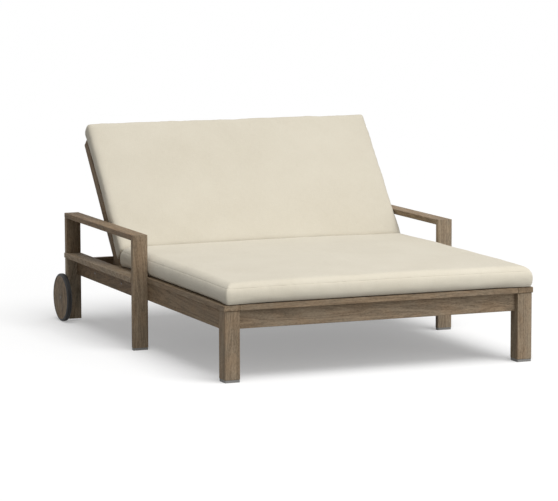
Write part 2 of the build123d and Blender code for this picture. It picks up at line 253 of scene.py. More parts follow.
def turnedBoardGrain(degrees):
    # a leaning board: its length lies in the YZ plane, that many degrees above +Y
    turn = Matrix.Rotation(-math.pi / 2, 4, "Z") @ Matrix.Rotation(-math.radians(degrees), 4, "X")
    return tuple(turn.to_euler("XYZ"))


recline = next(joint for joint in frame["joints"] if joint["name"] == "recline")
lean = -recline["range_deg"][0]
pivot = Vector(recline["pos_m"])

grainRuns = (  # turns that lay the pattern's X axis along the board, and the boards that run that way
    ((0, 0, 0), ("front_apron", "front_board", "rear_apron", "hinge_beam", "seat_slat", "back_slat",
                 "back_bottom_rail", "back_top_rail")),
    ((0, 0, -math.pi / 2), ("side_apron", "side_board", "centre_beam", "slat_ledger", "notch_rack",
                            "arm_board", "arm_lower_board", "arm_apron")),
    ((0, math.pi / 2, 0), ("front_leg", "arm_front_post", "arm_rear_post", "rear_leg", "wheel_disc")),
    (turnedBoardGrain(lean), ("back_stile", "back_centre_stile")),
    (turnedBoardGrain(-lean), ("prop_leg",)),
)
grainOf = {nodeName: turn for turn, starts in grainRuns
           for nodeName in frame["nodes"] if nodeName.startswith(starts)}

rng = np.random.default_rng(wood["seed"])
for nodeName in sorted(grainOf):
    shift = tuple(rng.uniform(-wood["shiftReach"], wood["shiftReach"], 3))
    # the listed tints are painted light and shade; the spread about them is random tone
    tint = paintedLightTints.get(nodeName, 1.0) + rng.uniform(-wood["tintSpread"], wood["tintSpread"])
    stain = wood["wheelStain"] if nodeName.startswith("wheel_disc") else 0.0
    board = woodMaterial("wood_" + nodeName, grainOf[nodeName], shift, tint, stain)
    setMaterial(frame["nodes"][nodeName], board)
print("wood:", len(grainOf), "boards")


# Metal, plastic and rubber

plainLooks = {
    "stainless_steel": {
        "metallic": 1.0,
        "stretch": (12, 160, 160),      # brushed along X
        "pattern": {"scale": 6.0, "detail": 3.0, "roughness": 0.6},
        "colours": ((0.3, (0.085, 0.075, 0.065)), (0.7, (0.15, 0.135, 0.12))),
        "roughness": 0.38,
        "roughnessSpread": 0.2,
        "bump": (0.15, 0.0002),
    },
    "glide_plastic": {
        "pattern": {"scale": 90.0, "detail": 4.0, "roughness": 0.7},
        "colours": ((0.3, (0.20, 0.195, 0.185)), (0.7, (0.28, 0.272, 0.26))),
        "roughness": 0.55,
        "bump": (0.2, 0.0003),
    },
    "tyre_rubber": {
        "pattern": {"scale": 60.0, "detail": 5.0, "roughness": 0.65},
        "colours": ((0.35, (0.004, 0.0037, 0.0035)), (0.75, (0.012, 0.0111, 0.0103))),
        "roughness": 0.5,
        "roughnessSpread": 0.25,
        "relief": {"scale": 900.0, "detail": 2.0},
        "bump": (0.25, 0.0002),
    },
}


def plainMaterial(name):
    look = plainLooks[name]
    material, tree, shader = newMaterial(name)
    coords = addNode(tree, "ShaderNodeTexCoord").outputs["Object"]
    if "stretch" in look:
        coords = scaledCoords(tree, coords, scale=look["stretch"])
    pattern = noise(tree, coords, **look["pattern"])
    tree.links.new(colourRamp(tree, pattern, look["colours"]), shader.inputs["Base Color"])
    shader.inputs["Metallic"].default_value = look.get("metallic", 0.0)
    shader.inputs["Roughness"].default_value = look["roughness"]
    if "roughnessSpread" in look:
        roughness = mathNode(tree, "MULTIPLY_ADD", pattern, look["roughnessSpread"], look["roughness"])
        tree.links.new(roughness, shader.inputs["Roughness"])
    relief = noise(tree, coords, **look["relief"]) if "relief" in look else pattern
    tree.links.new(bump(tree, relief, *look["bump"]), shader.inputs["Normal"])
    return material


steel, glide, rubber = (plainMaterial(name) for name in ("stainless_steel", "glide_plastic", "tyre_rubber"))
for nodeName in ("arm_bolts", "pivot_bolts", "axle_bolts", "wheel_spacers", "prop_rod", "prop_foot_bar"):
    setMaterial(frame["nodes"][nodeName], steel)
setMaterial(frame["nodes"]["foot_glides"], glide)
for nodeName in ("wheel_tyre_left", "wheel_tyre_right"):
    setMaterial(frame["nodes"][nodeName], rubber)
print("metal, plastic and rubber done")


# Cushions: sewn covers over foam, worked out as a grid and then blown up a little by cloth simulation

fabric = {
    "yarns": ((0.32, (0.630, 0.575, 0.462)), (0.5, (0.690, 0.638, 0.524)), (0.68, (0.735, 0.685, 0.570))),
    "threadPitch": 0.0011,
    "slubScales": (900, 28),       # slubs per metre across and along a thread
    "slubShare": 0.7,
    "slubNoise": {"scale": 1.0, "detail": 2.0, "roughness": 0.6},
    "cloudShare": 0.3,
    "cloudNoise": {"scale": 4.0, "detail": 3.0, "roughness": 0.55},
    "threadShades": (0.10, 0.94),  # painted light and shade at thread scale: a thread's crown is lighter by the first, and its edge, where shade falls between threads, has the second
    "roughness": 0.88,
    "specular": 0.22,
    "sheen": 0.18,
    "sheenRoughness": 0.5,
    "weaveBump": (0.35, 0.0002),
    "slubBump": (0.30, 0.0005),
}


def fabricMaterial(name, tint):
    # plain weave in metres of the cushion's own UV map: two crossed rows of threads, with slubs along them
    material, tree, shader = newMaterial(name)
    uv = addNode(tree, "ShaderNodeUVMap", uv_map="cloth").outputs["UV"]
    parts = addNode(tree, "ShaderNodeSeparateXYZ")
    tree.links.new(uv, parts.inputs[0])
    threads = [mathNode(tree, "MULTIPLY", parts.outputs[axis], math.pi / fabric["threadPitch"])
               for axis in (0, 1)]
    weave = mathNode(tree, "MULTIPLY", *(mathNode(tree, "ABSOLUTE", mathNode(tree, "SINE", thread))
                                         for thread in threads))

    across, along = fabric["slubScales"]
    slubs = [noise(tree, scaledCoords(tree, uv, scale=scale), **fabric["slubNoise"])
             for scale in ((across, along, 1), (along, across, 1))]
    slub = mathNode(tree, "MULTIPLY", mathNode(tree, "ADD", *slubs), 0.5)
    coords = addNode(tree, "ShaderNodeTexCoord").outputs["Object"]
    cloud = noise(tree, coords, **fabric["cloudNoise"])
    shade = mathNode(tree, "ADD", mathNode(tree, "MULTIPLY", slub, fabric["slubShare"]),
                     mathNode(tree, "MULTIPLY", cloud, fabric["cloudShare"]))
    # the weave paints light on the threads' crowns and shade between them into the yarn colour
    woven = multiplied(tree, colourRamp(tree, shade, fabric["yarns"]),
                       mathNode(tree, "MULTIPLY_ADD", weave, *fabric["threadShades"]))
    # the tint scales the whole cover's colour; below 1 it is painted shade
    tree.links.new(multiplied(tree, woven, (tint, tint, tint)), shader.inputs["Base Color"])
    shader.inputs["Roughness"].default_value = fabric["roughness"]
    shader.inputs["Specular IOR Level"].default_value = fabric["specular"]
    shader.inputs["Sheen Weight"].default_value = fabric["sheen"]
    shader.inputs["Sheen Roughness"].default_value = fabric["sheenRoughness"]
    weaveNormal = bump(tree, weave, *fabric["weaveBump"])
    tree.links.new(bump(tree, slub, *fabric["slubBump"], weaveNormal), shader.inputs["Normal"])
    return material


sewing = {
    "cell": 0.011,            # grid of the simulated cover
    "strips": 9,              # rows of points on the border, seams included
    "edgeSteps": (0, 0.05, 0.11, 0.18, 0.28, 0.42, 0.62, 0.9, 1.3, 1.8),   # final cuts at a seam, in cells
    "innerStep": 0.8,
    "stripPlaces": (0, 0.012, 0.028, 0.05, 0.09, 0.18, 0.32, 0.5, 0.68, 0.82, 0.91, 0.95, 0.972, 0.988, 1),
    "seamDepth": 0.0010,
    "seamWidth": 0.0012,
    "puckerDepth": 0.0006,
    "puckerReach": 0.012,
    "puckerWaves": (0.02, 0.06),
    "puckerLoss": 0.6,        # share of the puckers that the seam itself lacks
    "bottomShare": 0.35,      # the lower seam shows less
    "cornerCalm": 0.045,      # how far from a corner the puckers fade out
    "sideShift": 17.0,        # keeps the puckers of the four sides apart
    "topWaves": 0.25,         # share of the soft waves that is left on the top
    "middleShare": 0.8,       # part of a side, about its middle, that is measured
    "levelMargin": 8,         # grid lines left out round the top when its level is measured
    "frames": 20,
    "quality": 4,
    "vertexMass": 0.3,
    "stiffness": 400.0,
    "bending": 5.0,
    "pressure": 0.5,
    "slack": 0.005,
    "follow": 0.2,            # share of the simulated movement that is kept
    "cap": 0.005,
}


def ringPoint(halfX, halfY, radius, along, onXSide):
    # a point of a rounded rectangle: along runs -1 to 1 between the middles of two corners
    shortHalf = np.where(onXSide, halfY, halfX)
    longHalf = np.where(onXSide, halfX, halfY)
    straight = np.maximum(shortHalf - radius, 0)
    arc = np.abs(along) * (straight + radius * math.pi / 4)
    angle = np.maximum(arc - straight, 0) / np.maximum(radius, tiny)
    sideways = np.sign(along) * (np.minimum(arc, straight) + radius * np.sin(angle))
    out = longHalf - radius + radius * np.cos(angle)
    return sideways, out


def cornerEase(form, fromCorner):
    # how much of the lower rounding is left: less of it near the corners, which stand upright
    return 1 - (1 - form["cornerShare"]) * np.exp(-(fromCorner / form["cornerReach"]) ** 2)


def borderInset(form, height, fromCorner):
    # the border's outline: two quarter ellipses, one to the top and one to the bottom
    topStart = form["thickness"] - form["topDrop"]
    above = np.clip((height - topStart) / (form["topDrop"] - form["crown"]), 0, 1)
    below = np.clip((form["bottomRise"] - height) / form["bottomRise"], 0, 1)
    return (form["topWidth"] * (1 - np.sqrt(1 - above ** 2))
            + form["bottomWidth"] * cornerEase(form, fromCorner) * (1 - np.sqrt(1 - below ** 2)))


def panelGrid(form, top):
    # top or bottom panel on a square grid, as rings of rounded rectangles: the top one drops over the
    # rounded edge along the border's own quarter ellipse, the bottom one lies flat but for its rim
    bend = form["bend"]
    flatX, flatY = (form[key] - form["topWidth"] + bend for key in ("halfX", "halfY"))
    x, y = np.meshgrid(form["columns"] * flatX, form["rows"] * flatY, indexing="ij")
    depthX, depthY = flatX - np.abs(x), flatY - np.abs(y)
    onXSide = depthX <= depthY
    depth = np.minimum(depthX, depthY)
    turn = form["topTurn"] + np.clip(depth / bend, 0, 1) * (math.pi / 2 - form["topTurn"])
    nextX, nextY = np.maximum(flatX - depth, tiny), np.maximum(flatY - depth, tiny)
    along = np.clip(np.where(onXSide, y / nextY, x / nextX), -1, 1)
    if top:
        inset = form["topWidth"] * (1 - np.cos(turn)) + np.maximum(depth - bend, 0)
    else:
        fromCorner = (1 - np.abs(along)) * np.where(onXSide, flatY, flatX)
        rim = form["bottomWidth"] * (1 - math.cos(form["bottomTurn"])) * cornerEase(form, fromCorner)
        smallHalf = min(form["halfX"], form["halfY"])
        inset = rim + depth * (smallHalf - rim) / (smallHalf - form["topWidth"] + bend)
    spanX, spanY = (np.maximum(form[key] - inset, tiny) for key in ("halfX", "halfY"))
    radius = np.minimum(np.maximum(form["cornerRadius"] - inset * form["cornerSharpening"], 0),
                        np.minimum(spanX, spanY))
    sideways, out = ringPoint(spanX, spanY, radius, along, onXSide)
    px = np.where(onXSide, np.sign(x) * out, sideways)
    py = np.where(onXSide, sideways, np.sign(y) * out)
    if top:
        domeX, domeY = (1 - np.clip(np.abs(part) / form[key], 0, 1) ** 3
                        for part, key in ((px, "halfX"), (py, "halfY")))
        pz = (form["thickness"] - form["topDrop"] + (form["topDrop"] - form["crown"]) * np.sin(turn)
              + form["crown"] * domeX * domeY)
    else:
        pz = form["bottomSeamRise"] * (1 - np.clip(depth / form["bottomReach"], 0, 1)) ** 2
    return np.stack([px, py, pz], -1), np.stack([x, y], -1)


def perimeter(nx, ny):
    # grid indices of the border of a panel, once round, in order
    a = [(i, 0) for i in range(nx)]
    b = [(nx, j) for j in range(ny)]
    c = [(i, ny) for i in range(nx, 0, -1)]
    d = [(0, j) for j in range(ny, 0, -1)]
    return tuple(np.array(a + b + c + d).T)


def unit(vectors):
    return vectors / np.maximum(np.linalg.norm(vectors, axis=-1), tiny)[..., None]


def cushionShape(form):
    # the whole cover: two panels joined by a border strip
    topPoints, flat = panelGrid(form, True)
    bottomPoints, _ = panelGrid(form, False)
    ring = perimeter(*form["cells"])
    topRing, bottomRing, flatRing = topPoints[ring], bottomPoints[ring], np.abs(flat[ring])
    run = np.roll(topRing, -1, 0) - np.roll(topRing, 1, 0)
    outward = unit(np.stack([run[:, 1], -run[:, 0], np.zeros(len(run))], -1))
    share = np.linspace(0, 1, sewing["strips"])[:, None, None]
    strip = bottomRing[None] * (1 - share) + topRing[None] * share
    fromCorner = (flatRing.max(0) - flatRing).max(1)
    insets = borderInset(form, strip[..., 2:3], fromCorner[None, :, None])
    straight = insets[:1] * (1 - share) + insets[-1:] * share
    strip = strip + outward[None] * (straight - insets + np.sin(share * math.pi) * form["bulge"])
    return topPoints, bottomPoints, strip, flat, ring


def joinPanels(topPoints, bottomPoints, strip, ring):
    # one list of points, and for each panel the grid of its points' numbers; the seams are shared
    nx, ny = topPoints.shape[:2]
    topIds = np.arange(nx * ny).reshape(nx, ny)
    bottomIds = topIds + nx * ny
    inner = strip[1:-1]
    innerIds = 2 * nx * ny + np.arange(inner.shape[0] * inner.shape[1]).reshape(inner.shape[:2])
    stripIds = np.concatenate([bottomIds[ring][None], innerIds, topIds[ring][None]])
    points = np.concatenate([grid.reshape(-1, 3) for grid in (topPoints, bottomPoints, inner)])
    return points, (topIds, bottomIds, stripIds)


def quads(ids):
    # faces of a grid, seen with its first index to the right and its second one up
    return np.stack([ids[:-1, :-1], ids[1:, :-1], ids[1:, 1:], ids[:-1, 1:]], -1).reshape(-1, 4)


def panelFaces(topIds, bottomIds, stripIds):
    around = np.concatenate([stripIds, stripIds[:, :1]], 1)
    return np.concatenate([quads(topIds), quads(bottomIds)[:, ::-1], quads(around.T)])


def makeMesh(name, points, faces):
    mesh = bpy.data.meshes.new(name)
    mesh.vertices.add(len(points))
    mesh.vertices.foreach_set("co", points.astype(np.float32).ravel())
    mesh.loops.add(faces.size)
    mesh.loops.foreach_set("vertex_index", faces.astype(np.int32).ravel())
    mesh.polygons.add(len(faces))
    mesh.polygons.foreach_set("loop_start", np.arange(0, faces.size, faces.shape[1], dtype=np.int32))
    mesh.update(calc_edges=True)
    mesh.shade_smooth()
    obj = bpy.data.objects.new(name, mesh)
    bpy.context.scene.collection.objects.link(obj)
    return obj


def blowUp(points, faces, held):
    # Cloth with inside pressure and no gravity; held points stay, and no point moves further than the cap
    obj = makeMesh("sewing", points, faces)
    pin = obj.vertex_groups.new(name="held")
    pin.add([int(i) for i in held], 1.0, "REPLACE")
    cloth = obj.modifiers.new("cloth", "CLOTH")
    settings = cloth.settings
    settings.quality = sewing["quality"]
    settings.mass = sewing["vertexMass"]
    settings.tension_stiffness = settings.compression_stiffness = sewing["stiffness"]
    settings.shear_stiffness = sewing["stiffness"] / 2
    settings.bending_stiffness = sewing["bending"]
    settings.use_pressure = True
    settings.uniform_pressure_force = sewing["pressure"]
    settings.shrink_min = settings.shrink_max = -sewing["slack"]
    settings.vertex_group_mass = "held"
    settings.effector_weights.gravity = 0
    cloth.collision_settings.use_collision = False
    cloth.point_cache.frame_start, cloth.point_cache.frame_end = 1, sewing["frames"]
    for frameNumber in range(1, sewing["frames"] + 1):
        bpy.context.scene.frame_set(frameNumber)
    graph = bpy.context.evaluated_depsgraph_get()
    mesh = obj.evaluated_get(graph).data
    moved = np.empty(len(points) * 3, np.float32)
    mesh.vertices.foreach_get("co", moved)
    step = moved.reshape(-1, 3).astype(float) - points
    bpy.context.scene.frame_set(1)
    bpy.data.objects.remove(obj)
    length = np.linalg.norm(step, axis=1)[:, None]
    print("  cloth moved up to", round(float(length.max()) * 1000, 1), "mm, mean",
          round(float(length.mean()) * 1000, 1), "mm")
    kept = np.minimum(sewing["follow"] * length, sewing["cap"])
    return points + step * kept / np.maximum(length, tiny)


def resample(places, count):
    # rows of weights of a Catmull-Rom curve through count points, at places given in steps between them
    base = np.clip(np.floor(places).astype(int), 0, count - 2)
    t = places - base
    weights = np.stack([-t + 2 * t**2 - t**3, 2 - 5 * t**2 + 3 * t**3,
                        t + 4 * t**2 - 3 * t**3, t**3 - t**2], 1) / 2
    matrix = np.zeros((len(places), count))
    for offset in range(4):
        column = np.clip(base + offset - 1, 0, count - 1)
        np.add.at(matrix, (np.arange(len(places)), column), weights[:, offset])
    return matrix


def seamPlaces(cells):
    # where a panel is cut for the final mesh, in grid steps: close together at its two seams
    edge = np.array(sewing["edgeSteps"])
    count = int((cells - 2 * edge[-1]) / sewing["innerStep"]) + 1
    inner = np.linspace(edge[-1], cells - edge[-1], count)[1:-1]
    return np.concatenate([edge, inner, cells - edge[::-1]])


def cutFiner(points, panels, flat, cells, ring):
    # the three grids cut again, finer beside the seams
    topIds, bottomIds, stripIds = panels
    placesX, placesY = (seamPlaces(count) for count in cells)
    weightX, weightY = resample(placesX, cells[0] + 1), resample(placesY, cells[1] + 1)
    top, bottom, flat = (np.einsum("ai,bj,ijk->abk", weightX, weightY, grid, optimize=True)
                         for grid in (points[topIds], points[bottomIds], flat))
    weightRows = resample(np.array(sewing["stripPlaces"]) * (sewing["strips"] - 1), sewing["strips"])
    ringPlaces = np.concatenate([placesX[:-1], cells[0] + placesY[:-1],
                                 2 * cells[0] + cells[1] - placesX[:0:-1], len(ring[0]) - placesY[:0:-1]])
    before, after = 2, 3      # points of the ring repeated, so that the curve closes
    loop = points[stripIds]
    loop = np.concatenate([loop[:, -before:], loop, loop[:, :after]], 1)
    weightRing = resample(ringPlaces + before, loop.shape[1])
    strip = np.einsum("ai,bj,ijk->abk", weightRows, weightRing, loop, optimize=True)
    ring = perimeter(len(placesX) - 1, len(placesY) - 1)
    top[ring], bottom[ring] = strip[-1], strip[0]
    return top, bottom, strip, flat, ring


def gridNormals(points):
    return unit(np.cross(np.gradient(points, axis=0), np.gradient(points, axis=1)))


def stripNormals(points):
    # the strip closes on itself along its second index
    across = (np.roll(points, -1, 1) - np.roll(points, 1, 1)) / 2
    return unit(np.cross(across, np.gradient(points, axis=0)))


def softWaves(points, wavelengths, seed, count=24):
    # a smooth bumpy field, from -1 to 1 or so: a sum of sine waves in random directions
    draw = np.random.default_rng(seed)
    field = np.zeros(points.shape[:-1])
    for _ in range(count):
        direction = unit(draw.normal(size=3))
        wave = 2 * math.pi / draw.uniform(*wavelengths)
        field += np.sin(points @ direction * wave + draw.uniform(0, 2 * math.pi))
    return field / math.sqrt(count / 2) / 2


def puckerWave(places, seed, count=14):
    # sum of sine waves along a seam, from -1 to 1 or so; places is the way along it in metres
    draw = np.random.default_rng(seed)
    total = np.zeros(np.shape(places))
    for _ in range(count):
        wave = 2 * math.pi / draw.uniform(*sewing["puckerWaves"])
        total += np.sin(places * wave + draw.uniform(0, 2 * math.pi))
    return total / math.sqrt(count)


def seamCoords(flat):
    # flat holds a panel's own x and y in metres: the way to the nearest side, the place along that side,
    # with the four sides kept apart, and the way to its corner
    spans = np.abs(flat).reshape(-1, 2).max(0)
    depths = spans - np.abs(flat)
    onXSide = depths[..., 0] <= depths[..., 1]
    number = np.where(onXSide, np.sign(flat[..., 0]), 3 * np.sign(flat[..., 1]))
    run = np.where(onXSide, flat[..., 1], flat[..., 0])
    reach = np.where(onXSide, spans[1], spans[0])
    return depths.min(-1), run + number * sewing["sideShift"], reach - np.abs(run)


def seamRelief(distance, place, fromCorner, seed, share):
    # how far the cover sinks in beside a seam: a narrow groove, and puckers that fade out into the panel
    seam = np.exp(-(distance / sewing["seamWidth"]) ** 2)
    calm = 1 - np.exp(-(fromCorner / sewing["cornerCalm"]) ** 2)
    fade = np.exp(-distance / sewing["puckerReach"]) * (1 - sewing["puckerLoss"] * seam)
    puckers = sewing["puckerDepth"] * calm * fade * puckerWave(place, seed)
    return share * (sewing["seamDepth"] * seam + puckers)


def addRelief(top, bottom, strip, flat, ring, height, form):
    # seams, puckers and soft waves, along the normals; the seams take the strip's own values
    normals = [gridNormals(top), -gridNormals(bottom), stripNormals(strip)]
    normals[0][ring], normals[1][ring] = normals[2][-1], normals[2][0]
    seed, low = form["seed"], sewing["bottomShare"]
    _, place, fromCorner = (part[None] for part in seamCoords(flat[ring]))
    sinks = (seamRelief(*seamCoords(flat), seed, 1.0),
             seamRelief(*seamCoords(flat), seed + 1, low),
             seamRelief(height[:, None], place, fromCorner, seed + 1, low)
             + seamRelief((height[-1] - height)[:, None], place, fromCorner, seed, 1.0))
    grids = []
    for grid, normal, sink in zip((top, bottom, strip), normals, sinks):
        calm = np.clip(grid[..., 2] / form["calmHeight"], 0, 1)
        topCalm = np.clip((form["thickness"] - grid[..., 2]) / form["topSeamDrop"], sewing["topWaves"], 1)
        wave = form["broadDepth"] * softWaves(grid, form["broadWaves"], seed + 5)
        wave += form["softDepth"] * softWaves(grid, form["softWaves"], seed + 6) * topCalm
        grids.append(grid + normal * (wave * calm - sink)[..., None])
    return grids


def fitToSize(points, top, bottom, strip, flatRing, size, form):
    # back to the solid's size, taking the mean of each side's widest places as its outline
    spans = np.abs(flatRing).max(0)
    sides = []
    for axis, other in ((0, 1), (1, 0)):
        middle = np.abs(flatRing[:, other]) < sewing["middleShare"] * spans[other]
        out, sign = strip[:, middle, axis], flatRing[middle, axis]
        sides.append((out.min(0)[sign < 0].mean(), out.max(0)[sign > 0].mean()))
    margin = sewing["levelMargin"]
    level = np.percentile(top[margin:-margin, margin:-margin, 2], form["levelShare"])
    sides.append((bottom[..., 2].min(), level))
    low, high = np.array(sides).T
    return (points - (low + high) / 2) / (high - low) * np.array(size)


def cornerValues(grid):
    return grid.reshape(-1, 2)[quads(np.arange(grid[..., 0].size).reshape(grid.shape[:2]))]


def layCloth(obj, flat, strip, height):
    # UV map in metres of cloth; the three panels lie apart from each other
    steps = np.linalg.norm(np.roll(strip[0], -1, 0) - strip[0], axis=-1)
    around = np.concatenate([[0], np.cumsum(steps)])
    stripMap = np.stack(np.broadcast_arrays(around[:, None], height[None]), -1)
    maps = (cornerValues(flat), cornerValues(flat[..., ::-1] + 5.0)[:, ::-1], cornerValues(stripMap + 10.0))
    layer = obj.data.uv_layers.new(name="cloth")
    layer.data.foreach_set("uv", np.concatenate(maps).astype(np.float32).ravel())


def planCushion(size, form):
    # what follows from a cushion's form once its size is known
    halfX, halfY = size[0] / 2, size[1] / 2
    topTurn = math.asin((form["topDrop"] - form["topSeamDrop"]) / form["topDrop"])
    bottomTurn = math.asin((form["bottomRise"] - form["bottomSeamRise"]) / form["bottomRise"])
    bend = (math.pi / 2 - topTurn) * (form["topWidth"] + form["topDrop"]) / 2
    cells = [2 * int(round((half - form["topWidth"] + bend) / sewing["cell"])) for half in (halfX, halfY)]
    return {**form, "halfX": halfX, "halfY": halfY, "thickness": size[2], "bend": bend,
            "topTurn": topTurn, "bottomTurn": bottomTurn, "cells": cells,
            "columns": np.linspace(-1, 1, cells[0] + 1), "rows": np.linspace(-1, 1, cells[1] + 1)}


def sewCushion(name, size, place, form, tint):
    # size is width, length and thickness; place is the matrix that carries the flat cushion to its rest
    form = planCushion(size, form)
    top, bottom, strip, flat, ring = cushionShape(form)
    points, panels = joinPanels(top, bottom, strip, ring)
    points = blowUp(points, panelFaces(*panels), panels[1].ravel())
    top, bottom, strip, flat, ring = cutFiner(points, panels, flat, form["cells"], ring)
    rises = np.linalg.norm(np.diff(strip, axis=0), axis=-1).mean(1)
    height = np.concatenate([[0], np.cumsum(rises)])
    grids = addRelief(top, bottom, strip, flat, ring, height, form)
    points, panels = joinPanels(*grids, ring)
    points = fitToSize(points, *grids, flat[ring], size, form)
    obj = makeMesh(name, points, panelFaces(*panels))
    layCloth(obj, flat, strip, height)
    obj.data.transform(place)
    setMaterial(obj, fabricMaterial(name + "_fabric", tint))
    print(name + ":", len(obj.data.polygons), "faces")
    return obj


def nodeBox(nodeName):
    return (Vector(corner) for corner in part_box(nodeName))


seatForm = {
    "topWidth": 0.045,       # rounded edge at the top: how far in, and how far down
    "topDrop": 0.058,
    "topSeamDrop": 0.024,
    "bottomWidth": 0.034,    # the border leans in below its widest place
    "bottomRise": 0.029,
    "bottomSeamRise": 0.0025,
    "bottomReach": 0.040,    # how far in the underside comes down to rest
    "cornerShare": 0.40,     # share of the lower rounding that is left at a corner
    "cornerReach": 0.09,
    "cornerRadius": 0.013,
    "cornerSharpening": 0.7,
    "crown": 0.010,
    "levelShare": 35,        # percentile of the top that lies at the solid's height
    "calmHeight": 0.03,      # below this the waves fade, so that the underside stays flat
    "bulge": 0.0008,
    "broadDepth": 0.0012,
    "broadWaves": (0.18, 0.45),
    "softDepth": 0.0010,
    "softWaves": (0.07, 0.16),
    "seed": 21,
}
seatEase = 0.0014            # narrower by this, so that its waves stay clear of the arm posts
seatLow, seatHigh = nodeBox("seat_cushion")
seat = sewCushion("seat_cushion_cover", tuple(seatHigh - seatLow - Vector((seatEase, 0, 0))),
                  Matrix.Translation((seatHigh + seatLow) / 2), seatForm, tint=1.0)
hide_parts("seat_cushion")
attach(seat, "frame")

# The back cushion is measured with the backrest turned down flat, and its cover turned up with it again
layFlat = (Matrix.Translation(pivot) @ Matrix.Rotation(-math.radians(lean), 4, "X")
           @ Matrix.Translation(-pivot))
backNode = frame["nodes"]["back_cushion"]
flatPoints = np.array([layFlat @ backNode.matrix_world @ vertex.co for vertex in backNode.data.vertices])
backLow, backHigh = Vector(flatPoints.min(0)), Vector(flatPoints.max(0))
backForm = {
    **seatForm,
    "topWidth": 0.029,
    "topDrop": 0.035,
    "bottomWidth": 0.032,
    "bottomRise": 0.045,
    "crown": 0.016,
    "softDepth": 0.0013,
    "seed": 33,
}
# its left side lies further in than the solid's; its right side clears the rear post when it lies flat
backNudge, backStretch = Vector((0.0026, 0.0015, 0)), Vector((-0.0062, 0.003, 0))
# its tint of 0.96 is painted shade: the back cover is made darker than the seat's for shade that the lamps
# don't give it
back = sewCushion("back_cushion_cover", tuple(backHigh - backLow + backStretch),
                  layFlat.inverted() @ Matrix.Translation((backLow + backHigh) / 2 + backNudge),
                  backForm, tint=0.96)
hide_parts("back_cushion")
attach(back, "backrest")


# Turned pieces: tyres with round shoulders and two grooves, and the low caps of the axle

def lathe(name, outline, centre, segments):
    # outline is (x, radius) once round, turned about the X axis through centre
    outline = np.array(outline)
    turns = np.arange(segments) * 2 * math.pi / segments
    along, radius = outline[:, 0][:, None], outline[:, 1][:, None]
    points = np.stack(np.broadcast_arrays(along, radius * np.cos(turns), radius * np.sin(turns)), -1)
    ids = np.arange(points.shape[0] * segments).reshape(points.shape[:2])
    ids = np.concatenate([ids, ids[:1]], 0)
    ids = np.concatenate([ids, ids[:, :1]], 1)
    return makeMesh(name, points.reshape(-1, 3) + np.array(centre), quads(ids))


tyreForm = {
    "shoulder": 0.0085,
    "shoulderSteps": 9,
    "proud": 0.0012,         # how far the side wall stands past the disc
    "lip": 0.0020,           # and how far it reaches over the disc's edge
    "lipRise": 0.0002,       # the lip leaves the disc's face by this
    "lipRound": (0.0003, 0.0004, 0.0012),   # its rounded edge: in, first step up, second step up
    "root": (0.0010, 0.0005),               # how far the inner edge goes into the disc, across and down
    "grooveDepth": 0.0036,
    "grooveWidth": 0.0020,
    "groovePlaces": (-0.0050, 0.0050),
    "treadSteps": 61,
    "segments": 144,
}


def tyreOutline(halfWidth, inner, outer):
    # r(x) = outer - depth * sum of exp(-((x - place) / width)^2) between two quarter-round shoulders
    shoulder, lip = tyreForm["shoulder"], tyreForm["lip"]
    wide = halfWidth + tyreForm["proud"]
    tread = np.linspace(wide - shoulder, shoulder - wide, tyreForm["treadSteps"])
    dip = sum(np.exp(-((tread - place) / tyreForm["grooveWidth"]) ** 2) for place in tyreForm["groovePlaces"])
    treadPoints = np.stack([tread, outer - tyreForm["grooveDepth"] * dip], 1)
    angle = np.linspace(0, math.pi / 2, tyreForm["shoulderSteps"])[:-1]
    bow = np.stack([wide - shoulder + shoulder * np.cos(angle),
                    outer - shoulder + shoulder * np.sin(angle)], 1)
    rootIn, rootDown = tyreForm["root"]
    lipIn, firstStep, secondStep = tyreForm["lipRound"]
    wall = np.array([[halfWidth - rootIn, inner - rootDown], [halfWidth + tyreForm["lipRise"], inner - lip],
                     [wide - lipIn, inner - lip + firstStep], [wide, inner - lip + secondStep]])
    right = np.concatenate([wall, bow])
    left = (right * (-1, 1))[::-1]
    return np.concatenate([right, treadPoints, left])


def makeTyre(side):
    low, high = nodeBox("wheel_tyre_" + side)
    discLow, discHigh = nodeBox("wheel_disc_" + side)
    outline = tyreOutline((high.x - low.x) / 2, (discHigh.z - discLow.z) / 2, (high.z - low.z) / 2)
    tyre = lathe("tyre_" + side, outline, (low + high) / 2, tyreForm["segments"])
    setMaterial(tyre, rubber)
    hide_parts("wheel_tyre_" + side)
    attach(tyre, "wheel_" + side)


for sideName in ("left", "right"):
    makeTyre(sideName)
print("tyres done")


# Axles: the CAD bolts stand proud, the real ones end in low dark caps that close the bore

capForm = {
    "radius": 0.0072,
    "rise": 0.0016,
    "shank": 0.006,
    "stand": 0.0001,         # how far the caps' rims stand off the disc and the leg
    "pole": 1e-5,            # radius at the middle of a cap
    "steps": 7,
    "segments": 48,
}


def axlePin(name, sign, outerFace, innerFace, height, along):
    # from the middle of one cap to the middle of the other, as a turned outline
    angle = np.linspace(0, math.pi / 2, capForm["steps"])
    dome = np.stack([capForm["rise"] * np.cos(angle), capForm["radius"] * np.sin(angle)], 1)
    dome[0, 1] = capForm["pole"]
    outer = dome + (outerFace, 0)
    inner = dome[::-1] * (-1, 1) + (innerFace, 0)
    shank = np.array([[outerFace, capForm["shank"]], [innerFace, capForm["shank"]]])
    outline = np.concatenate([outer, shank, inner]) * (sign, 1)
    return lathe(name, outline[::sign], (0, along, height), capForm["segments"])


